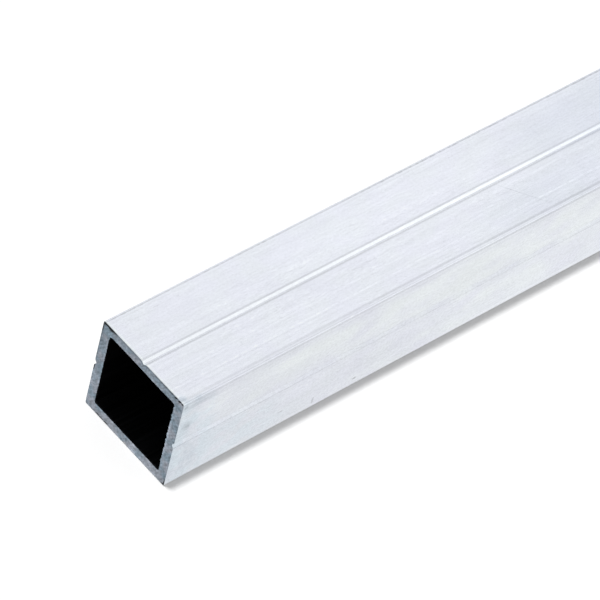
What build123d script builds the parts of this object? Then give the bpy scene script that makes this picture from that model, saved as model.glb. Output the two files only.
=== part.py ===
from build123d import *
import os

# Square tube, extruded in aluminium and sawn to length from a long bar. It is one piece,
# with a centring groove down the middle of each face, and it lies on one of its faces.
# Millimetres, +Z up. The tube runs along Y, and the origin is on the floor under its middle.

# Driving dimensions: the section, as the extrusion die makes it
side = 20.0  # outside width and height
wall = 2.0  # wall thickness, alike on the four sides
corner_radius = 0.4  # outside corners
bore_corner_radius = 0.3  # inside corners, left by the mandrel
groove_width = 1.15  # mouth of a centring groove, between the lines where its flanks meet the face
groove_angle = 100.0  # between a groove's two flanks, in degrees
groove_root_radius = 0.2  # round bottom of a groove
groove_lip_radius = 0.8  # where a flank rolls over into the face

# Driving dimensions: the cut bar
length = 300.0
outer_edge_break = 0.1  # burr knocked off round the outside of each sawn end

# Centring groove, drawn as it cuts into a face that lies on x = 0 and looks along +X.
# Its depth follows from the mouth, the angle and the root radius: about 0.4 mm.
flank_slope = (180 - groove_angle) / 2
with BuildSketch() as groove:
    Triangle(
        a=groove_width,
        B=flank_slope,
        C=flank_slope,
        rotation=90,
        align=(Align.CENTER, Align.MIN),
    )
    root = groove.vertices().sort_by(Axis.X)[0]
    fillet(root, groove_root_radius)

# The tube: the section pushed through the die, the same along the whole bar
bore_side = side - 2 * wall
mid_length = Plane(origin=(0, 0, side / 2), x_dir=(1, 0, 0), z_dir=(0, -1, 0))
with BuildPart() as square_tube:
    with BuildSketch(mid_length) as section:
        RectangleRounded(side, side, corner_radius)
        with PolarLocations(side / 2, 4):
            add(groove.sketch, mode=Mode.SUBTRACT)
        # The eight corners at the mouths stand half a groove from the middle of a face
        lips = section.vertices().filter_by(
            lambda corner: abs(min(abs(corner.X), abs(corner.Y)) - groove_width / 2) < 1e-6
        )
        fillet(lips, groove_lip_radius)
        RectangleRounded(bore_side, bore_side, bore_corner_radius, mode=Mode.SUBTRACT)
    extrude(amount=length / 2, both=True)

    # Both ends are sawn square. Their outside edges are broken all round, down into the
    # grooves, and the bore's edges stay as the saw left them.
    sawn_ends = square_tube.faces().filter_by(Axis.Y)
    outer_edges = [edge for end in sawn_ends for edge in end.outer_wire().edges()]
    chamfer(outer_edges, outer_edge_break)

square_tube.part.label = "square_tube"

os.makedirs("parts", exist_ok=True)
export_step(square_tube.part, "parts/square_tube.step")
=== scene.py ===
import math

import bpy
import numpy as np
from mathutils import Matrix, Vector


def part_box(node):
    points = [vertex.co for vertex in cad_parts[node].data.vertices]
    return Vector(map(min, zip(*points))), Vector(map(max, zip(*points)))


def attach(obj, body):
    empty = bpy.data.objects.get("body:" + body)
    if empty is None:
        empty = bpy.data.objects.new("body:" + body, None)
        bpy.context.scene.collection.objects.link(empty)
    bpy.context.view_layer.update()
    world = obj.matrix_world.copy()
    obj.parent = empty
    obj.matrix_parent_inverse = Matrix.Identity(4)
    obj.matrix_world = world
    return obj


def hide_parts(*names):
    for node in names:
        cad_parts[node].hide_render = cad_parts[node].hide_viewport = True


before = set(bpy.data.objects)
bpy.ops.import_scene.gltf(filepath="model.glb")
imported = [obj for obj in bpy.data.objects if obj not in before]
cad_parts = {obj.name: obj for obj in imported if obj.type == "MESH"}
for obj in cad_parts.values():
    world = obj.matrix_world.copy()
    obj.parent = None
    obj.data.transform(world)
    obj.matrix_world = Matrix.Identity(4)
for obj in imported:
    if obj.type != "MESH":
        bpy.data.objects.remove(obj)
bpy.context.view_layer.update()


# ---- Square tube: the extruded skin ----
# One length of aluminium stock, with its skin as it left the extrusion press. The die gives
# the square section and the centring groove in each face, rolls the grooves' lips, eases the
# arrises, and draws faint lines along the whole bar.

mm = 0.001
(low_x, near_y, low_z), (high_x, far_y, high_z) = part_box("square_tube")
half_side = (high_x - low_x) / 2
middle_z = (low_z + high_z) / 2
arris_radius = 0.3 * mm
arris_ease_radius = 2.0 * mm
arris_ease_turn = math.radians(4)
groove_width = 1.15 * mm
groove_flank_tilt = math.radians(40)
groove_root_radius = 0.2 * mm
groove_lip_radius = 0.8 * mm


def graded(*stretches):
    """Distances with an even step inside each stretch, given as (from, to, step)."""
    return np.concatenate([np.arange(a, b - s / 2, s) for a, b, s in stretches])


# An arris turns from one face to the next on a large radius where it leaves a face, and on a
# small one in the middle. Its run is how far it has gone across the face at each turn, and its
# drop how far it has fallen: the sums of arc times cosine and arc times sine.
arris_turns = np.radians([0, 2, 4, 10, 18, 27, 36, 45, 54, 63, 72, 80, 86, 88, 90])
between = (arris_turns[1:] + arris_turns[:-1]) / 2
easing = (between < arris_ease_turn) | (between > math.pi / 2 - arris_ease_turn)
arc = np.where(easing, arris_ease_radius, arris_radius) * np.diff(arris_turns)
arris_run = np.cumsum(arc * np.cos(between))
arris_drop = np.cumsum(arc * np.sin(between))
half_flat = half_side - arris_run[-1]

# Stations round the section: across the flat of a face, closer together at the groove, then
# round the arris to the next face. They start at the top face's left.
outwards = graded(
    (0, 0.9 * mm, 0.05 * mm), (0.9 * mm, 8.7 * mm, 0.15 * mm), (8.7 * mm, half_flat, 0.1 * mm)
)
outwards = np.append(outwards, half_flat)
flat_places = np.concatenate([-outwards[:0:-1], outwards])
on_flat = np.zeros(len(flat_places))
face_share = np.tile(np.append(flat_places / half_flat, np.ones(len(arris_turns) - 2)), 4)
face_turn = np.tile(np.append(on_flat, arris_turns[1:-1]), 4)
face_start = np.repeat(np.radians([0, 90, 180, 270]), len(face_share) // 4)
stations = len(face_share)
normal = np.stack([np.sin(face_start + face_turn), np.cos(face_start + face_turn)], -1)

# The skin's section as points (x, z), one for each station
across_face = np.stack([np.cos(face_start), -np.sin(face_start)], -1)
out_of_face = np.stack([np.sin(face_start), np.cos(face_start)], -1)
run = face_share * half_flat + np.tile(np.append(on_flat, arris_run[:-1]), 4)
drop = np.tile(np.append(on_flat, arris_drop[:-1]), 4)
outer = run[:, None] * across_face + (half_side - drop)[:, None] * out_of_face


def groove_depth(across):
    """Depth of the centring groove at a distance across the face. From the middle outwards it
    follows the root circle, the straight flank, and the lip circle that rolls the flank over
    into the face. Each circle meets the flank where it is as steep as the flank."""
    out = np.abs(across)
    tilt = groove_flank_tilt
    mouth = groove_width / 2
    root_centre = mouth * math.tan(tilt) - groove_root_radius / math.cos(tilt)
    root = root_centre + np.sqrt(np.clip(groove_root_radius**2 - out**2, 0, None))
    lip_end = mouth + groove_lip_radius * math.tan(tilt / 2)
    from_lip_end = np.clip(lip_end - out, 0, groove_lip_radius)
    lip = groove_lip_radius - np.sqrt(groove_lip_radius**2 - from_lip_end**2)
    flank = (mouth - out) * math.tan(tilt)
    in_root = out < groove_root_radius * math.sin(tilt)
    in_flank = out < lip_end - groove_lip_radius * math.sin(tilt)
    return np.select([in_root, in_flank], [root, flank], lip)


def smoothstep(places, start, end):
    """0 before start, 1 after end, and 3s² - 2s³ of the share s between them."""
    share = np.clip((places - start) / (end - start), 0, 1)
    return share * share * (3 - 2 * share)


def wander(places, pitch, seed, closed=0):
    """Smooth noise from -1 to 1 along places: a random height at every pitch, joined by a
    smoothstep. With closed, the noise repeats after that length."""
    knots = round(closed / pitch) if closed else int(np.max(places) / pitch) + 2
    height = np.random.default_rng(seed).uniform(-1, 1, knots)
    at = places * (knots / closed if closed else 1 / pitch)
    low = np.floor(at).astype(int)
    part = smoothstep(at - low, 0, 1)
    return height[low % knots] * (1 - part) + height[(low + 1) % knots] * part


steps = np.linalg.norm(np.roll(outer, -1, 0) - outer, axis=1)
around = np.concatenate([[0], np.cumsum(steps)[:-1]])
perimeter = steps.sum()


# The step down beside each arris, in a face's order (before its middle, after it) and face by
# face from the top: depth, and how far from the middle it starts and ends. Its depth grows along
# the bar: distances from the near end, and times the depth.
arris_step_growth = ((0, 80 * mm, 300 * mm), (0.6, 1.25, 1.0))
arris_steps = mm * np.array(
    [
        (0.006, 9.2, 9.65), (0.06, 9.0, 9.5), (0.02, 9.3, 9.5), (0.008, 9.0, 9.5),
        (0.02, 9.0, 9.5), (0.01, 9.0, 9.5), (0.03, 9.0, 9.5), (0.03, 9.2, 9.6),
    ]
)
face = np.repeat(np.arange(4), stations // 4)
across_flat = face_share * half_flat
half_face = 2 * face + (across_flat > 0)
step_depth, step_start, step_end = arris_steps[half_face].T
arris_step = step_depth * smoothstep(np.abs(run), step_start, step_end)
past_arris = smoothstep(face_turn, 0, math.pi / 2)
arris_step += (arris_steps[(half_face + 1) % 8, 0] - step_depth) * past_arris

# Lines that the die draws on each face, from scratches in its lips: place across the face,
# half width (mm), and how much they lighten the metal (percent). The first top line, dark at
# the far arris, is painted shade along that edge.
top_lines = (
    (-9.62, 0.16, -38), (-9.2, 0.1, 2.2), (-8.95, 0.12, -2.2), (-8.55, 0.2, 2.2), (-7.8, 0.2, -2.2),
    (-4.65, 0.35, -0.8), (-2.9, 0.3, 2.3), (-2.25, 0.2, -1.9), (-1.7, 0.25, 1.0), (1.93, 0.2, 3.2),
    (2.7, 0.35, -2.5), (3.5, 0.12, -1.2), (3.87, 0.13, 3.6), (4.25, 0.13, -1.6), (4.55, 0.13, 2.0),
    (4.95, 0.16, -2.8), (5.65, 0.2, -1.6), (5.98, 0.12, 2.0), (6.25, 0.12, -1.2), (6.62, 0.13, 7.0),
    (7.03, 0.14, -3.0), (7.45, 0.17, 2.4), (7.88, 0.2, -2.6), (8.85, 0.14, 1.8), (9.3, 0.15, -1.5),
)
right_lines = (
    (-9.05, 0.15, 2.0), (-7.9, 0.3, 1.2), (-5.5, 0.5, 1.1), (-0.62, 0.2, -3), (5.4, 0.5, -0.8),
)
turned_lines = tuple((-place, half, light) for place, half, light in top_lines)
die_lines_and_arris_shade = (top_lines, right_lines, turned_lines, right_lines)


def lines_drawn(lines):
    """How much the lines lighten the metal at each place across a face: each line is a bell,
    half as strong at its half width."""
    place, half, light = np.array(lines).T
    off = (run[: stations // 4, None] / mm - place) / half
    return (light / 100 * np.exp(-math.log(2) * off * off)).sum(1)


line_tone = np.concatenate([lines_drawn(lines) for lines in die_lines_and_arris_shade])

# How far each groove stands off the middle of its face, from the top face round
groove_offsets = np.array([0.08, 0.12, -0.05, 0.03]) * mm

# The die's waves round the section: pitch, height and seed. They rise and fall along the bar.
die_waves = ((7.0 * mm, 0.020 * mm, 10), (1.7 * mm, 0.004 * mm, 11), (0.6 * mm, 0.002 * mm, 12))
die_fade_pitch = 45 * mm
die_fade = 0.3


def skin_inset(y):
    """How far the skin lies inside the plain section, for rings at y: the groove, the step down
    beside some arrises, and the die's waves times a slow noise along the bar. It is never less
    than zero, so the skin stays in the square."""
    groove = groove_depth(across_flat - groove_offsets[face]) * (face_turn == 0)
    growth = np.interp(y - near_y, *arris_step_growth)
    inset = groove + growth[:, None] * arris_step
    for pitch, height, seed in die_waves:
        fade = 1 - die_fade + die_fade * wander(y - near_y, die_fade_pitch, seed + 100)
        wave = 1 + wander(around, pitch, seed, closed=perimeter)
        inset = inset + height / 2 * fade[:, None] * wave
    return inset


def rings_at(section, y):
    """Rings of points (x, y, z): a section of (x, z) points, the same or one for each ring,
    set at each y and raised to the tube's middle."""
    flat = np.broadcast_to(section, (len(y), stations, 2))
    y = np.broadcast_to(y[:, None], (len(y), stations))
    return np.stack([flat[..., 0], y, flat[..., 1] + middle_z], -1)


# The skin's rings stand closer together near the sawn ends
from_end = np.concatenate([[0.25, 0.5, 0.9, 1.6, 3, 5], np.arange(8, 144, 6)]) * mm
skin_y = np.concatenate([near_y + from_end, [(near_y + far_y) / 2], far_y - from_end[::-1]])
skin_rings = rings_at(outer - skin_inset(skin_y)[..., None] * normal, skin_y)


# ---- Square tube: the sawn ends and the bore ----
# The bar is cut square on a circular saw. The teeth leave faint marks across the wall, break the
# bore's edge with a ragged burr in places, and roll the outside edge over. Stretches of that
# rolled edge are painted dark, as painted shade in the crevice under the roll, and other
# stretches are rubbed pale.

face_setback = 0.01 * mm
saw_mark_pitch = 0.5 * mm
saw_mark_depth = 0.005 * mm
saw_mark_slope = math.radians(24)
rim_radius = (0.03 * mm, 0.08 * mm)
rim_pitch = 0.35 * mm
rim_turns = np.radians([0, 22.5, 45, 67.5, 90])
burr_reach = 0.2 * mm
burr_pitch = 0.3 * mm
wall = 2.0 * mm
bore_corner_radius = 0.3 * mm

# How far each edge of the bore's mouth is broken back, from the top face round
bore_edge_breaks = np.array([0.24, 0.2, 0.08, 0.08]) * mm

# Rings of a sawn face, as shares of the way from rim to lip, and how strongly the pale rubbing
# and the painted highlight on the lip show on each. The burr's fold has the depth (mm) and the
# share of the burr's reach of each ring.
face_shares = np.array(
    [0.045, 0.09, 0.14, 0.2, 0.28, 0.36, 0.44, 0.52, 0.6, 0.68, 0.76, 0.84, 0.9, 0.95, 1]
)
face_pale = np.array([0.6, 0.9, 1, 1, 1, 0.9, 0.7, 0.5, 0.4, 0.3, 0.3, 0.3, 0.2, 0.1, 0]) * 0.3
inner_shine = np.array([0] * 10 + [0.3, 0.8, 1, 1, 0.8])
burr_fold = np.array([(0.05, 0.9), (0.12, 0.5), (0.22, 0.15), (0.4, 0.0)])

# Painted highlights: how much the lip and a burr shine, and the rim's rings. Painted shade, in the
# crevice and thinly along the whole rim, darkens the rim's rings by these shares, and nothing
# gets darker than the darkest.
lip_shine, burr_shine = 0.05, 0.6
rim_painted_highlight = np.array([0.02, 0.02, 0.01, 0, 0])
glint_pitch = 0.8 * mm
rim_crevice_shade = np.array([0, 0.1, 0.6, 1, 1])
rim_thin_shade = 0.05
crevice_shade_gain = 1.4
crevice_shade_pitch = 0.5 * mm
darkest = 0.97

# Stretches of the rim painted dark, as painted shade in the crevice under the rolled edge: place
# round the section and half length, how dark it is, and how far in from the rim it reaches (mm)
near_crevice_shade = (
    (0.9, 1.45, 1.3, 0.5), (1.1, 0.6, 1.5, 0.75), (2.4, 0.5, 0.7, 0.45), (15.4, 3.8, 0.35, 0.4),
    (16.9, 0.2, 0.9, 0.45), (17.85, 0.25, 1.4, 0.55), (18.75, 0.3, 1.4, 0.55), (19.4, 0.15, 1.2, 0.4),
    (9.0, 9.0, 0.2, 0.55), (73.6, 4.2, 0.3, 0.25), (78.0, 0.9, 0.8, 0.3), (68.2, 0.6, 0.8, 0.25),
    (54.2, 0.4, 0.9, 0.45), (55.3, 0.45, 0.7, 0.4), (56.3, 0.35, 0.9, 0.45), (38.9, 0.9, 0.8, 0.3),
)
far_crevice_shade = ((5.0, 1.5, 0.9, 0.4), (27.0, 2.5, 0.7, 0.3), (47.0, 1.0, 1.0, 0.5), (66.0, 2.0, 0.6, 0.3))

# Stretches of the face that are rubbed pale, stretches of the rim with a painted glint, and
# stretches of the bore's edge that carry a burr: place round the section and half length (mm),
# and strength. A negative one is dull.
near_pale = (
    (44.5, 3.5, 0.8), (46.5, 1.5, 0.7), (50.5, 4.0, 0.5), (64.0, 4.5, 0.5), (32.0, 3.0, 0.3),
    (6.8, 1.4, -0.5), (76.0, 1.7, -0.6),
)
near_glints = (
    (2.3, 0.3, 1.0), (1.2, 0.2, 1.0), (17.4, 0.35, 1.0), (18.4, 0.3, 1.0), (19.2, 0.5, 0.5),
    (29.6, 9.6, -1.0),
)
near_burrs = ((28.5, 8.5, 1.0), (49.5, 8.5, 0.4), (79.0, 0.5, 1.6), (70.0, 6.0, 0.4), (14.5, 3.0, 0.5))
far_pale = ((30.0, 6.0, 0.8),)
far_glints = ((12.0, 0.5, 1.0), (52.0, 0.3, 1.0))
far_burrs = ((12.0, 6.0, 0.9), (60.0, 9.0, 0.7))


def stretch(place, half_length):
    """1 inside half a length of a place round the section, 0 past it, at stations. Its edge is
    spread over 0.25 mm on either side. All are in mm."""
    off = np.abs(around / mm - place)
    off = np.minimum(off, perimeter / mm - off)
    return smoothstep(-off, -half_length - 0.25, -half_length + 0.25)


def stretches_round(stretches):
    """Strength at each station: the sum of the stretches there."""
    return sum(peak * stretch(place, half) for place, half, peak in stretches)


def crevice_shade_at(crevice_shade, from_rim):
    """How dark the painted crevice shade is at distances in from the rim, as (rings, stations): the
    greatest of the stretches there, each even for half its reach and fading to 0 at its reach."""
    depth = from_rim[:, None] / mm
    dark = [
        peak * stretch(place, half) * smoothstep(-depth, -reach, -reach / 2)
        for place, half, peak, reach in crevice_shade
    ]
    return np.max(dark, axis=0)


def sawn_end(end_y, inward, crevice_shade, pale, glints, burrs, seed):
    """Rings of one sawn end, from the skin to the bore, and the shade of each point. The rim is
    a quarter circle whose radius wanders. The face runs straight from rim to lip, and its depth
    follows the saw's marks. The lip stands back from the bore by the edge break, less a ragged
    burr, and both die out down the bore."""
    ragged = 0.5 + 0.5 * wander(around, rim_pitch, seed, closed=perimeter)
    crevice_shaded = crevice_shade_at(crevice_shade, np.zeros(1))[0]
    radius = rim_radius[0] + (rim_radius[1] - rim_radius[0]) * np.maximum(ragged, crevice_shaded)
    inset = skin_inset(np.array([end_y]))[0]
    rim_in = inset + radius * (1 - np.cos(rim_turns))[:, None]
    rim = outer - rim_in[..., None] * normal
    rim_depth = face_setback + radius * (1 - np.sin(rim_turns))[:, None]
    patchy = 0.75 + 0.25 * wander(around, crevice_shade_pitch, seed + 4, closed=perimeter)
    # Painted shade darkens the rim: in the crevice under the rolled edge, and thinly all along it
    rim_dark = np.clip(crevice_shade_gain * crevice_shaded * patchy + rim_thin_shade * ragged, 0, darkest)
    # Painted glints along the rolled rim
    glint_level = 1 + wander(around, glint_pitch, seed + 5, closed=perimeter) + stretches_round(glints)
    rim_shade = (1 - rim_dark * rim_crevice_shade[:, None]) * (1 + rim_painted_highlight[:, None] * glint_level)

    teeth = 0.5 + 0.5 * wander(around, burr_pitch, seed + 1, closed=perimeter)
    burr = burr_reach * stretches_round(burrs) * teeth
    reach = burr - edge_break
    lip = bore - reach[:, None] * normal
    share = face_shares[:, None, None]
    face = rim[-1] * (1 - share) + lip * share
    cut_place = face[..., 0] * math.sin(saw_mark_slope) + face[..., 1] * math.cos(saw_mark_slope)
    marks = wander(cut_place + half_side * 2, saw_mark_pitch, seed + 3)
    face_depth = face_setback + saw_mark_depth * marks
    # Painted highlight on the lip and on the burrs
    shine = inner_shine[:, None] * (lip_shine + burr_shine * burr / burr_reach)
    shine = shine + face_pale[:, None] * stretches_round(pale) * (0.5 + 0.5 * ragged)
    # The painted crevice shade also reaches in over the face
    face_dark = np.clip(crevice_shade_gain * crevice_shade_at(crevice_shade, face_shares * wall) * patchy, 0, darkest)
    face_shade = (1 - face_dark) * (1 + shine)

    fold_depth, fold_share = burr_fold.T
    fold = bore - (reach * fold_share[:, None])[..., None] * normal
    fold_in = face_setback + fold_depth[:, None] * mm + np.zeros(stations)

    flat = np.concatenate([rim, face, fold])
    depth = np.concatenate([rim_depth, face_depth, fold_in])
    rings = np.stack([flat[..., 0], end_y + inward * depth, flat[..., 1] + middle_z], -1)
    return rings, np.concatenate([rim_shade, face_shade, np.ones(fold.shape[:2])])


# The bore is a plain square with round corners, at the same stations. Its edge breaks pass from
# one face's to the next round the corner.
bore_half = half_side - wall
bore_flat = bore_half - bore_corner_radius
bore = bore_flat * (face_share[:, None] * across_face + out_of_face) + bore_corner_radius * normal
next_break = bore_edge_breaks[(face + 1) % 4]
edge_break = bore_edge_breaks[face] * (1 - past_arris) + next_break * past_arris
bore_depth = np.array([1, 2.5, 6, 12, 22, 36, 54, 76, 100, 125]) * mm
bore_y = np.concatenate([far_y - bore_depth, near_y + bore_depth[::-1]])
bore_rings = rings_at(bore, bore_y)
far_end, far_shade = sawn_end(far_y, -1, far_crevice_shade, far_pale, far_glints, far_burrs, 40)
near_end, near_shade = sawn_end(near_y, 1, near_crevice_shade, near_pale, near_glints, near_burrs, 20)


# ---- Square tube: one closed surface ----
# The tube is a single piece of metal, so its surface is one net: along the skin, over the far
# end, back down the bore and over the near end, where it closes on itself.

grid = np.concatenate([skin_rings, far_end, bore_rings, near_end[::-1]])
shade = np.ones(grid.shape[:2])
first_far = len(skin_rings)
first_bore = first_far + len(far_end)
first_near = first_bore + len(bore_rings)
shade[first_far:first_bore] = far_shade
shade[first_near:] = near_shade[::-1]
shade[0], shade[first_far - 1] = near_shade[0], far_shade[0]
rings = len(grid)


def corners_of_quads(values):
    """The value at each corner of each quad, as (rings, stations, 4, ...). Quads run to the
    next ring and the next station, and both ways close on themselves."""
    next_ring = np.roll(values, -1, 0)
    sides = [values, next_ring, np.roll(next_ring, -1, 1), np.roll(values, -1, 1)]
    return np.stack(sides, 2)


quads = corners_of_quads(np.arange(rings * stations).reshape(rings, stations)).reshape(-1, 4)
tube_mesh = bpy.data.meshes.new("square_tube_surface")
tube_mesh.from_pydata(grid.reshape(-1, 3), [], quads)
tube_mesh.polygons.foreach_set("use_smooth", np.ones(len(quads), bool))

# What the materials read at each point: the painted shade and highlights of rims and lips, the
# die's lines with the painted shade at the far arris, and how upright the face stands, a little
# less on the left face than on the right
left_share = 0.8
upright = np.abs(normal[:, 0]) * np.where(normal[:, 0] > 0, 1, left_share)
point_values = {
    "edge_shade": shade,
    "die_lines_and_arris_shade": np.tile(line_tone, (rings, 1)),
    "upright": np.tile(upright, (rings, 1)),
}
for name, values in point_values.items():
    tube_mesh.attributes.new(name, "FLOAT", "POINT").data.foreach_set("value", values.ravel())

# Which finish each band of quads has: 0 skin, 1 sawn, 2 bore. A band follows its first ring.
# The rolled half of the rim still has its skin.
rolled_bands = 2
sawn_bands = len(rim_turns) + len(face_shares) - 1
finish = np.zeros(rings, int)
finish[first_far + rolled_bands : first_far + sawn_bands] = 1
finish[first_far + sawn_bands : rings - 1 - sawn_bands] = 2
finish[rings - 1 - sawn_bands : rings - 1 - rolled_bands] = 1
tube_mesh.polygons.foreach_set("material_index", np.repeat(finish, stations))

# The map laid out for baking: the skin unrolled with the bar's length along U, the bore above
# it, and each sawn end as a strip unrolled along U. Each strip is (lowest V, highest V).
skin_strip = (0.004, 0.8)
bore_strip = (0.81, 0.9)
far_strip = (0.91, 0.95)
near_strip = (0.96, 0.996)
margin = 0.004
length = far_y - near_y


def in_strip(share, strip):
    """V for a share from 0 to 1 of a strip."""
    return strip[0] + (strip[1] - strip[0]) * share


end_rings = len(far_end)
next_around = np.append(around[1:], perimeter)
round_share = np.stack([around, around, next_around, next_around], -1) / perimeter
round_share = np.broadcast_to(round_share, (rings, stations, 4))
along_share = corners_of_quads((grid[..., 1] - near_y) / length)
end_share = np.linspace(0, 1, end_rings)
end_share = np.stack([end_share[:-1], end_share[1:], end_share[1:], end_share[:-1]], -1)[:, None, :]
u = margin + (1 - 2 * margin) * along_share
v = in_strip(round_share, skin_strip)
v[first_bore - 1 : first_near] = in_strip(round_share, bore_strip)[first_bore - 1 : first_near]
sawn_strips = ((first_far, far_strip, end_share), (first_near, near_strip, 1 - end_share[::-1]))
for first, strip, shares in sawn_strips:
    bands = slice(first, first + end_rings - 1)
    u[bands] = (margin + (1 - 2 * margin) * round_share)[bands]
    v[bands] = in_strip(shares, strip)
bake_map = tube_mesh.uv_layers.new(name="OFBake")
bake_map.data.foreach_set("uv", np.stack([u, v], -1).ravel())

tube = bpy.data.objects.new("square_tube_surface", tube_mesh)
bpy.context.scene.collection.objects.link(tube)
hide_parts("square_tube")
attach(tube, "root")


# ---- Square tube: mill finish on the skin ----
# Bare aluminium, pale and a little blue, not polished or anodised. The die's lines and the
# run-out table's scuffs are short broken dashes along the bar, with a few slanting hairlines.


def srgb(red, green, blue):
    """The linear colour of an 8-bit sRGB one, with alpha 1."""
    parts = np.array([red, green, blue]) / 255
    linear = np.where(parts <= 0.04045, parts / 12.92, ((parts + 0.055) / 1.055) ** 2.4)
    return (*linear, 1.0)


def add_node(tree, kind, inputs=None, **settings):
    """A shader node of this kind. Settings are the node's own fields. Each input, by name or
    place, is a value or the socket that feeds it."""
    made = tree.nodes.new("ShaderNode" + kind)
    for name, value in settings.items():
        setattr(made, name, value)
    for name, value in (inputs or {}).items():
        if isinstance(value, bpy.types.NodeSocket):
            tree.links.new(value, made.inputs[name])
        else:
            made.inputs[name].default_value = value
    return made


def math_node(tree, operation, *values):
    """The result of a Math node on these values."""
    return add_node(tree, "Math", dict(enumerate(values)), operation=operation).outputs[0]


def fit(tree, value, start, end, low, high, smooth=True):
    """The value carried from start..end to low..high, held at both ends."""
    kind = "SMOOTHSTEP" if smooth else "LINEAR"
    inputs = {"Value": value, "From Min": start, "From Max": end, "To Min": low, "To Max": high}
    return add_node(tree, "MapRange", inputs, interpolation_type=kind).outputs["Result"]


def grains(tree, place, size, turn=(0, 0, 0), shift=0.0, detail=1.0):
    """Noise from 0 to 1 whose grains have this size along X, Y and Z, turned by turn."""
    inputs = {"Vector": place, "Location": (shift, shift, shift), "Rotation": turn, "Scale": size}
    turned = add_node(tree, "Mapping", inputs, vector_type="TEXTURE").outputs["Vector"]
    noise = add_node(tree, "TexNoise", {"Vector": turned, "Scale": 1.0, "Detail": detail})
    return noise.outputs[0]


def mixed(tree, kind, share, first, second):
    """Two colours mixed by share."""
    made = add_node(tree, "Mix", data_type="RGBA", blend_type=kind)
    for number, value in ((0, share), (6, first), (7, second)):
        socket = made.inputs[number]
        if isinstance(value, bpy.types.NodeSocket):
            tree.links.new(value, socket)
        else:
            socket.default_value = value
    return made.outputs[2]


def ramp(tree, value, levels):
    """The grey level at a value from 0 to 1, eased between the given (value, level) pairs."""
    made = add_node(tree, "ValToRGB", {"Fac": value})
    made.color_ramp.interpolation = "EASE"
    while len(made.color_ramp.elements) < len(levels):
        made.color_ramp.elements.new(1.0)
    for stop, (position, level) in zip(made.color_ramp.elements, levels):
        stop.position = position
        stop.color = (level, level, level, 1)
    return made.outputs["Color"]


def new_metal(name):
    """A metal material, as its tree, its shader, its place on the tube and its edge shade."""
    made = bpy.data.materials.new(name)
    made.use_nodes = True
    tube_mesh.materials.append(made)
    tree = made.node_tree
    shader = tree.nodes["Principled BSDF"]
    shader.inputs["Metallic"].default_value = 1.0
    place = add_node(tree, "TexCoord").outputs["Object"]
    shade = add_node(tree, "Attribute", attribute_name="edge_shade").outputs["Fac"]
    return tree, shader, place, shade


def streaks(tree, place, width, run, amount, turn=0.0, shift=0.0, detail=1.0):
    """Light and dark streaks along the bar, as a change from -amount to amount."""
    noise = grains(tree, place, (width, run, width), (turn, 0, turn), shift, detail)
    return fit(tree, noise, 0.3, 0.7, -amount, amount)


def mark(tree, place, spot, half_size, amount=1.0, turn=0):
    """One mark on the skin: amount in the middle of an ellipsoid, fading to 0 at its surface.
    Its middle and half size are in mm, and it is turned about Z, in degrees."""
    spot, half_size = [mm * n for n in spot], [mm * n for n in half_size]
    turned = (0, 0, math.radians(turn))
    inputs = {"Vector": place, "Location": spot, "Rotation": turned, "Scale": half_size}
    inside = add_node(tree, "Mapping", inputs, vector_type="TEXTURE").outputs["Vector"]
    far = add_node(tree, "VectorMath", {0: inside}, operation="LENGTH").outputs["Value"]
    return fit(tree, far, 0.35, 1.0, amount, 0)


tree, shader, place, edge = new_metal("extruded_skin")
sides = add_node(tree, "SeparateXYZ", {0: place}).outputs
upright_fac = add_node(tree, "Attribute", attribute_name="upright").outputs["Fac"]
on_side = fit(tree, upright_fac, 0.7, 1, 0, 1)
near_half = fit(tree, sides["Y"], -70 * mm, -30 * mm, 1, 0.5)
on_side = math_node(tree, "MULTIPLY", on_side, near_half)

# Bare metal, in patches of two close tints. The oxide and the wet cut each tint it, and painted
# highlights lighten the groove's flanks and the rim behind the near cut.
bare, bare_greener = srgb(237, 240, 249.5), srgb(237, 241, 248)
oxide = srgb(237, 242, 244.5)
cutting_fluid = srgb(213, 222, 232)
tarnish = srgb(216, 222, 233)
rim_highlight_colour = srgb(245, 252, 255)

# Faint greenish clouds of oxide on the two upright faces, thicker in their upper halves and away
# from the near cut. Patches where they are thicker, or thinner (negative): place, half size, by
# how much.
cloud_patches = (
    ((10, -120, 16), (1, 11, 5), 0.15),
    ((10, -102, 15.5), (1, 7, 4.5), 0.08),
    ((10, -138, 8), (1, 16, 9), -0.12),
    ((10, -80, 4), (1, 12, 6), 0.2),
)
cloud = grains(tree, place, (5 * mm, 8 * mm, 5 * mm), shift=2.3)
cloud = math_node(tree, "ADD", cloud, fit(tree, sides["Y"], -145 * mm, -90 * mm, -0.12, 0.0))
cloud = math_node(tree, "ADD", cloud, fit(tree, sides["Z"], 8 * mm, 12 * mm, -0.1, 0.11))
for spot, half_size, amount in cloud_patches:
    cloud = math_node(tree, "ADD", cloud, mark(tree, place, spot, half_size, amount))
clouded = math_node(tree, "MULTIPLY", fit(tree, cloud, 0.3, 0.78, 0, 1), on_side)
below_arris = fit(tree, sides["Z"], 16.5 * mm, 19.5 * mm, 1, 0.2)
clouded = math_node(tree, "MULTIPLY", clouded, below_arris)
tint = fit(tree, grains(tree, place, (4 * mm, 6 * mm, 4 * mm), shift=8.3), 0.35, 0.65, 0, 1)
colour = mixed(tree, "MIX", tint, bare, bare_greener)
colour = mixed(tree, "MIX", clouded, colour, oxide)

# Painted reflection on the top groove's flanks: place, half size and colour
groove_flank_reflections = (
    ((-0.2, -100, 19.8), (0.42, 200, 0.45), (241, 245, 250)),
    ((0.35, -100, 19.75), (0.3, 200, 0.35), (241, 240, 240)),
)
for spot, half_size, reflected_tint in groove_flank_reflections:
    colour = mixed(tree, "MIX", mark(tree, place, spot, half_size), colour, srgb(*reflected_tint))

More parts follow.
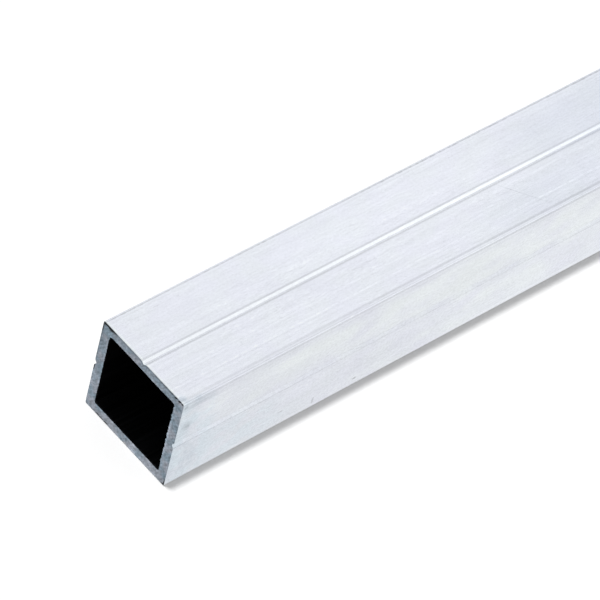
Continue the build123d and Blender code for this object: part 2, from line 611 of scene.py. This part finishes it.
# Thin bluish wash that cutting fluid left near the cut, in patches: place, half size, colour
fluid_washes = (
    ((10, -138, 4), (1, 17, 7.5), (233, 241, 249)),
    ((10, -147, 9), (1, 6.5, 16), (230, 241, 249)),
    ((10, -150.3, 10), (1, 2.4, 40), (228, 241, 249)),
    ((8.7, -149.6, 20), (1.6, 1.1, 0.6), (227, 240, 249)),
)
patchy = fit(tree, grains(tree, place, (3 * mm, 4 * mm, 3 * mm), shift=9.4), 0.38, 0.6, 0.15, 1.0)
for spot, half_size, wash in fluid_washes:
    wet = math_node(tree, "MULTIPLY", mark(tree, place, spot, half_size), patchy)
    colour = mixed(tree, "MIX", wet, colour, srgb(*wash))

# Painted highlight: a thin broken bright line just behind the near cut, on the faces that lie
# flat
lying = math_node(tree, "SUBTRACT", 1.0, on_side)
at_rim = fit(tree, sides["Y"], -149.8 * mm, -149.4 * mm, 1.0, 0)
rim_highlight_breaks = fit(tree, grains(tree, place, (0.8 * mm, 0.8 * mm, 0.8 * mm), shift=4.9), 0.35, 0.65, 0.3, 1.0)
rim_highlight = math_node(tree, "MULTIPLY", math_node(tree, "MULTIPLY", lying, at_rim), rim_highlight_breaks)
colour = mixed(tree, "MIX", rim_highlight, colour, rim_highlight_colour)

# Darker stains of the fluid, and a broad tarnish on the top face: place, half size, strength
fluid_stains = (
    ((10, -150.0, 5), (1, 10, 10), 0.5),
    ((10, -150.0, 15), (1, 5.5, 7), 0.45),
    ((10, -148.4, 13.3), (1, 1.5, 2.6), 0.7),
    ((10, -147.0, 5.8), (1, 3.4, 5.0), 0.6),
    ((10, -148.5, 19.2), (1, 6.5, 1.7), 0.7),
    ((8.9, -149.4, 20), (0.75, 1.0, 0.6), 1.0),
)
tarnish_marks = (((6.5, -62, 20), (6.5, 28, 1), 0.4), ((-3.5, -45, 20), (9, 35, 1), 0.5))
stain = 0.0
for spot, half_size, amount in fluid_stains:
    stain = math_node(tree, "MAXIMUM", mark(tree, place, spot, half_size, amount), stain)
uneven = grains(tree, place, (2 * mm, 1.5 * mm, 2 * mm), shift=3.7, detail=2.0)
stain = math_node(tree, "MULTIPLY", stain, fit(tree, uneven, 0.3, 0.7, 0.4, 1.4))
colour = mixed(tree, "MIX", stain, colour, cutting_fluid)
for spot, half_size, amount in tarnish_marks:
    colour = mixed(tree, "MIX", mark(tree, place, spot, half_size, amount), colour, tarnish)

# How much each kind of line and blemish lightens or darkens the metal. The scuffs are broken
# dashes and slanting hairlines, which come and go in patches.
patches = fit(tree, grains(tree, place, (5 * mm, 14 * mm, 5 * mm), shift=6.7), 0.35, 0.6, 0.3, 1.0)
patches = math_node(tree, "MULTIPLY", patches, fit(tree, on_side, 0, 1, 1.0, 0.95, smooth=False))
to_right = fit(tree, sides["X"], -8 * mm, 2 * mm, 0.72, 1.25)
patches = math_node(tree, "MULTIPLY", patches, to_right)
bright = fit(tree, grains(tree, place, (0.25 * mm, 1.6 * mm, 0.25 * mm), shift=3.1), 0.56, 0.7, 0, 0.04)
dull = fit(tree, grains(tree, place, (0.25 * mm, 1.3 * mm, 0.25 * mm), shift=7.9), 0.56, 0.7, 0, -0.04)
scuffs = math_node(tree, "ADD", bright, dull)
for turn, shift in ((math.radians(3.5), 1.1), (math.radians(-4.0), 4.2)):
    hairlines = grains(tree, place, (0.2 * mm, 3 * mm, 0.2 * mm), (turn, 0, turn), shift)
    scuffs = math_node(tree, "ADD", scuffs, fit(tree, hairlines, 0.62, 0.74, 0, 0.035))
    scuffs = math_node(tree, "ADD", scuffs, fit(tree, hairlines, 0.26, 0.38, -0.035, 0))

# The die's lines come and go along the bar and break up into beads, but only up to the
# strength most_broken. What the darkest, the painted shade at the far arris, has beyond it is
# drawn whole.
most_broken = 0.08
drawn = add_node(tree, "Attribute", attribute_name="die_lines_and_arris_shade").outputs["Fac"]
drawn_share = fit(tree, grains(tree, place, (1.5 * mm, 20 * mm, 1.5 * mm), shift=5.9), 0.3, 0.7, 0.4, 1.4)
beads = fit(tree, grains(tree, place, (0.5 * mm, 1 * mm, 0.5 * mm), shift=2.9), 0.35, 0.65, 0.1, 1.7)
faint = fit(tree, drawn, -most_broken, most_broken, -most_broken, most_broken, smooth=False)
gritty = streaks(tree, place, 0.35 * mm, 0.45 * mm, 0.018, shift=1.3)
specks = grains(tree, place, (0.45 * mm, 0.9 * mm, 0.45 * mm), shift=1.9)
changes = (
    math_node(tree, "MULTIPLY", math_node(tree, "MULTIPLY", faint, drawn_share), beads),
    math_node(tree, "SUBTRACT", drawn, faint),
    math_node(tree, "MULTIPLY", scuffs, patches),
    streaks(tree, place, 3 * mm, 9 * mm, 0.013, detail=2.0),
    streaks(tree, place, 0.45 * mm, 120 * mm, 0.007, shift=0.3, detail=2.0),
    math_node(tree, "MULTIPLY", gritty, fit(tree, on_side, 0, 1, 1, 2.0, smooth=False)),
    math_node(tree, "MULTIPLY", fit(tree, cloud, 0.3, 0.7, -0.03, 0.03), on_side),
    fit(tree, specks, 0.75, 0.82, 0, -0.1),
)
tone = 1.0
for change in changes:
    tone = math_node(tree, "ADD", change, tone)

# Marks on the near part of the bar: place, half size, turn, and how much each darkens the
# metal, or lightens it (negative). First broad smudges, then long lines beside the arrises and
# grooves, which are painted highlights and painted shade along those edges, then small smudges
# at the cut, a scratch, dents and specks.
marks_and_painted_bands = (
    ((-7.5, -70, 20), (2, 15, 1), 0, 0.025),
    ((-3.5, -103, 20), (5, 24, 1), 0, -0.025),
    ((10, -129, 16.5), (1, 9, 2.5), 0, -0.04),
    ((10, -122, 7.3), (1, 7, 2.2), 0, -0.035),
    ((10, -105, 5), (1, 13, 3), 0, 0.025),
    ((10, -88, 13), (1, 14, 3.5), 0, 0.035),
    ((10, -140, 16), (1, 10, 4), 0, -0.03),
    ((10, -136, 9.75), (1, 20, 0.8), 0, -0.055),
    ((10, -142, 10.05), (1, 10, 0.45), 0, -0.03),
    ((10, -146, 18.4), (1, 10, 0.7), 0, 0.06),
    ((10, -90, 18.7), (1, 38, 0.5), 0, 0.035),
    ((10, -70, 11.0), (1, 24, 0.4), 0, 0.045),
    ((10, -72, 0.9), (1, 20, 0.4), 0, -0.045),
    ((9.4, -68, 20), (0.35, 26, 0.4), 0, 0.06),
    ((8.6, -75, 20), (0.5, 30, 0.3), 0, 0.045),
    ((10, -110, 19.3), (1, 45, 0.25), 0, -0.045),
    ((9.7, -75, 20), (0.25, 50, 0.3), 0, -0.05),
    ((10, -75, 19.65), (1, 50, 0.25), 0, 0.05),
    ((0.28, -85, 19.8), (0.32, 65, 0.5), 0, -0.09),
    ((9.3, -140, 20), (0.3, 45, 0.3), 0, -0.045),
    ((9.92, -95, 19.95), (0.2, 90, 0.25), 0, -0.03),
    ((0.7, -100, 20), (0.17, 200, 0.3), 0, -0.04),
    ((10, -148.3, 13.8), (1, 1.3, 1.5), 0, 0.14),
    ((10, -148.1, 13.7), (1, 0.7, 0.6), 0, 0.1),
    ((8.95, -149.4, 20), (0.4, 0.6, 0.3), 0, 0.06),
    ((10, -149.3, 18.9), (0.3, 0.6, 0.5), 0, 0.25),
    ((4.0, -74.2, 20), (0.11, 8.0, 0.3), -55.8, 0.12),
    ((-8.0, -141.0, 20), (0.2, 0.9, 0.3), 0, 0.07),
    ((-7.9, -136.7, 20), (0.18, 0.5, 0.3), 10, 0.08),
    ((4.75, -134.1, 20), (0.2, 0.3, 0.3), 0, 0.12),
    ((-4.8, -102.8, 20), (0.2, 1.2, 0.3), -8, 0.08),
    ((10, -110.5, 1.7), (0.3, 0.55, 0.28), 0, 0.36),
    ((10, -119.4, 1.8), (0.3, 0.35, 1.1), 0, 0.2),
    ((10, -126.6, 3.4), (0.3, 0.8, 0.3), 0, 0.16),
)
for spot, half_size, turn, amount in marks_and_painted_bands:
    tone = math_node(tree, "ADD", tone, mark(tree, place, spot, half_size, -amount, turn))
tone = math_node(tree, "MULTIPLY", tone, edge)
colour = add_node(tree, "VectorMath", {0: colour, "Scale": tone}, operation="SCALE").outputs[0]
tree.links.new(colour, shader.inputs["Base Color"])
fine = grains(tree, place, (0.3 * mm, 5 * mm, 0.3 * mm), shift=5.3)
tree.links.new(fit(tree, fine, 0.3, 0.7, 0.18, 0.24), shader.inputs["Roughness"])
bump = add_node(tree, "Bump", {"Strength": 1.0, "Distance": 0.0008 * mm, "Height": fine})
tree.links.new(bump.outputs[0], shader.inputs["Normal"])


# ---- Square tube: sawn metal and bore ----
# The sawn faces are the same metal, torn by the teeth, so they are rough, greyer and mottled. Their
# colour is also darkened in part by painted shade of the upright end.
# The bore, which the mandrel formed, is painted dark inside as painted shade, where no light reaches.

torn_shaded_blue, torn_shaded_grey = srgb(140, 157, 170), srgb(154, 160, 170)
bore_shade_dark, bore_shade_paler = srgb(30, 31, 34), srgb(42, 43, 46)

tree, shader, place, edge = new_metal("sawn_face")
mottle = grains(tree, place, (2.2 * mm, 2.2 * mm, 2.2 * mm), detail=2.0)
speckle = grains(tree, place, (0.5 * mm, 0.5 * mm, 0.5 * mm), shift=0.4, detail=2.0)
tooth_lines = grains(tree, place, (0.3 * mm, 1 * mm, 1.8 * mm), (0, math.radians(40), 0), 0.8, 1.0)
height = add_node(tree, "SeparateXYZ", {0: place}).outputs["Z"]
greyer = math_node(tree, "ADD", mottle, fit(tree, height, 0.5 * mm, 3 * mm, 0.12, -0.03))
greyer = fit(tree, greyer, 0.35, 0.65, 0, 1)
colour = mixed(tree, "MIX", greyer, torn_shaded_blue, torn_shaded_grey)
tone = math_node(tree, "ADD", fit(tree, speckle, 0.3, 0.7, -0.25, 0.25), 1.0)
tone = math_node(tree, "ADD", tone, fit(tree, tooth_lines, 0.3, 0.7, -0.16, 0.16))
tone = math_node(tree, "ADD", tone, fit(tree, mottle, 0.3, 0.7, -0.08, 0.08))
tone = math_node(tree, "MULTIPLY", tone, edge)
colour = add_node(tree, "VectorMath", {0: colour, "Scale": tone}, operation="SCALE").outputs[0]
tree.links.new(colour, shader.inputs["Base Color"])
tree.links.new(fit(tree, speckle, 0.3, 0.7, 0.45, 0.6), shader.inputs["Roughness"])
torn = math_node(tree, "ADD", speckle, tooth_lines)
bump = add_node(tree, "Bump", {"Strength": 1.0, "Distance": 0.008 * mm, "Height": torn})
tree.links.new(bump.outputs[0], shader.inputs["Normal"])

tree, shader, place, edge = new_metal("bore_skin")
lines = grains(tree, place, (0.5 * mm, 40 * mm, 0.5 * mm), detail=2.0)
colour = mixed(tree, "MIX", fit(tree, lines, 0.3, 0.7, 0, 1), bore_shade_dark, bore_shade_paler)
colour = add_node(tree, "VectorMath", {0: colour, "Scale": edge}, operation="SCALE").outputs[0]
tree.links.new(colour, shader.inputs["Base Color"])
tree.links.new(fit(tree, lines, 0.3, 0.7, 0.4, 0.5), shader.inputs["Roughness"])


# ---- Floor ----
# A plain white table, which keeps the tube's shadow. For the camera it turns into pure white
# away from the tube. The metal sees it at set levels, darker beside the tube on the right.

floor_reach = 6.0
floor_white = 0.9
floor_lift = 0.18
turns_white = (0.2, 0.6)

# The levels that the metal sees: place across the bar and level. They brighten along the bar,
# between two places (m), from one factor to another.
level_reach = 0.1
floor_levels = (
    (-0.1, 0.95), (-0.02, 0.92), (0.0, 0.9), (0.0215, 0.9),
    (0.025, 0.67), (0.031, 0.67), (0.038, 0.9), (0.1, 0.9),
)
brighter_along = (-0.135, -0.065, 0.965, 1.04)


def ray_kinds(tree):
    """1 for a ray from the camera, and 1 for one that metal reflects before it has met anything
    matt. Each is 0 for the other rays."""
    path = add_node(tree, "LightPath").outputs
    before_matt = math_node(tree, "LESS_THAN", path["Diffuse Depth"], 0.5)
    return path["Is Camera Ray"], math_node(tree, "MULTIPLY", path["Is Glossy Ray"], before_matt)


corners = [(-1, -1, 0), (1, -1, 0), (1, 1, 0), (-1, 1, 0)]
floor_mesh = bpy.data.meshes.new("floor")
floor_mesh.from_pydata(floor_reach * np.array(corners, float), [], [(0, 1, 2, 3)])
floor = bpy.data.objects.new("floor", floor_mesh)
bpy.context.scene.collection.objects.link(floor)
paint = bpy.data.materials.new("floor_paint")
paint.use_nodes = True
floor_mesh.materials.append(paint)
tree = paint.node_tree
tree.nodes.clear()
from_camera, in_metal = ray_kinds(tree)
place = add_node(tree, "TexCoord").outputs["Object"]
sides = add_node(tree, "SeparateXYZ", {0: place}).outputs

stops = [((x + level_reach) / (2 * level_reach), level) for x, level in floor_levels]
across = fit(tree, sides["X"], -level_reach, level_reach, 0, 1, smooth=False)
seen = {0: ramp(tree, across, stops), "Scale": fit(tree, sides["Y"], *brighter_along)}
seen = add_node(tree, "VectorMath", seen, operation="SCALE").outputs[0]
seen_in_metal = add_node(tree, "Emission", {"Color": seen, "Strength": 1.0})

matt = add_node(tree, "BsdfDiffuse", {"Color": (floor_white, floor_white, floor_white, 1)})
lift = add_node(tree, "Emission", {"Strength": math_node(tree, "MULTIPLY", from_camera, floor_lift)})
lit = add_node(tree, "AddShader", {0: matt.outputs[0], 1: lift.outputs[0]})
from_tube = add_node(tree, "VectorMath", {0: place}, operation="LENGTH").outputs["Value"]
distant = math_node(tree, "MULTIPLY", from_camera, fit(tree, from_tube, *turns_white, 0, 1))
white = add_node(tree, "Emission", {"Strength": 1.0})
seen_far = add_node(tree, "MixShader", {0: distant, 1: lit.outputs[0], 2: white.outputs[0]})
whole = {0: in_metal, 1: seen_far.outputs[0], 2: seen_in_metal.outputs[0]}
add_node(tree, "OutputMaterial", {"Surface": add_node(tree, "MixShader", whole).outputs[0]})


# ---- Light ----
# A white tent, a little darker at its foot and in a ring above, which the metal reflects. A
# small overhead lamp draws the narrow shadow, and a softbox to the right fills the metal.

# The tent's levels: how high a direction points, from the horizon to straight up, and the level
upper_levels = ((0.735, 1.035), (0.81, 0.76), (0.87, 0.72), (0.92, 0.77), (1.0, 0.92))
left_levels = ((0.0, 0.72), (0.3, 0.74), (0.55, 0.9), *upper_levels)
right_levels = ((0.0, 0.86), (0.35, 0.88), (0.55, 0.96), *upper_levels)
matt_level = 0.3
world = bpy.data.worlds.new("tent")
bpy.context.scene.world = world
world.use_nodes = True
tree = world.node_tree
tree.nodes.clear()
from_camera, in_metal = ray_kinds(tree)
direction = add_node(tree, "TexCoord").outputs["Generated"]
heading = add_node(tree, "SeparateXYZ", {0: direction}).outputs
to_right = fit(tree, heading["X"], -0.5, 0.1, 0, 1)
left_tent = ramp(tree, heading["Z"], left_levels)
right_tent = ramp(tree, heading["Z"], right_levels)
tent = mixed(tree, "MIX", to_right, left_tent, right_tent)
reflected = add_node(tree, "Background", {"Color": tent, "Strength": 1.0})
plain_level = fit(tree, from_camera, 0, 1, matt_level, 1.0)
plain = add_node(tree, "Background", {"Color": (1, 1, 1, 1), "Strength": plain_level})
whole = add_node(tree, "MixShader", {0: in_metal, 1: plain.outputs[0], 2: reflected.outputs[0]})
add_node(tree, "OutputWorld", {"Surface": whole.outputs[0]})


def add_lamp(name, shape, size, place, aim, radiance):
    """An area lamp at place that faces aim, with its width and height. Its power is its
    radiance times pi and its area."""
    data = bpy.data.lights.new(name, "AREA")
    data.shape = shape
    data.size, data.size_y = size
    area = size[0] * size[1] * (math.pi / 4 if shape == "DISK" else 1)
    data.energy = radiance * math.pi * area
    lamp = bpy.data.objects.new(name, data)
    lamp.location = place
    lamp.rotation_euler = (Vector(place) - Vector(aim)).to_track_quat("Z", "Y").to_euler()
    bpy.context.scene.collection.objects.link(lamp)
    return lamp


overhead_distance = 2.0
overhead_tilt = math.radians(3.7)
overhead_width = math.radians(4.3)
overhead_share = 0.7
overhead = add_lamp(
    "overhead",
    "DISK",
    (overhead_distance * overhead_width, overhead_distance * overhead_width),
    (-overhead_distance * math.sin(overhead_tilt), -0.2, overhead_distance * math.cos(overhead_tilt)),
    (0, -0.1, 0),
    overhead_share / (math.pi / 4 * overhead_width**2) * math.pi,
)
overhead.visible_glossy = False
softbox = add_lamp("softbox", "RECTANGLE", (0.9, 1.7), (1.2, 1.5, 0.8), (0, -0.05, 0.8), 0.31)
softbox.visible_diffuse = False


# ---- Camera ----
# It stands to the right of the tube's near end, looks down on it, and is rolled to the right.

camera_azimuth = math.radians(38.45)
camera_elevation = math.radians(47.72)
camera_roll = math.radians(15.434)
camera_distance = 0.7998
aim = Vector((-0.00263, near_y + 0.0366, 0.0101))
camera_lens = 299.7
camera_data = bpy.data.cameras.new("camera")
camera_data.lens = camera_lens
camera_data.sensor_width = 36
camera = bpy.data.objects.new("camera", camera_data)
back = Vector(
    (
        math.sin(camera_azimuth) * math.cos(camera_elevation),
        -math.cos(camera_azimuth) * math.cos(camera_elevation),
        math.sin(camera_elevation),
    )
)
level_right = Vector((math.cos(camera_azimuth), math.sin(camera_azimuth), 0))
level_up = back.cross(level_right)
right = math.cos(camera_roll) * level_right + math.sin(camera_roll) * level_up
up = math.cos(camera_roll) * level_up - math.sin(camera_roll) * level_right
turn = Matrix((right, up, back)).transposed().to_4x4()
camera.matrix_world = Matrix.Translation(aim + back * camera_distance) @ turn
bpy.context.scene.collection.objects.link(camera)
bpy.context.scene.camera = camera
bpy.context.scene.view_settings.view_transform = "Standard"
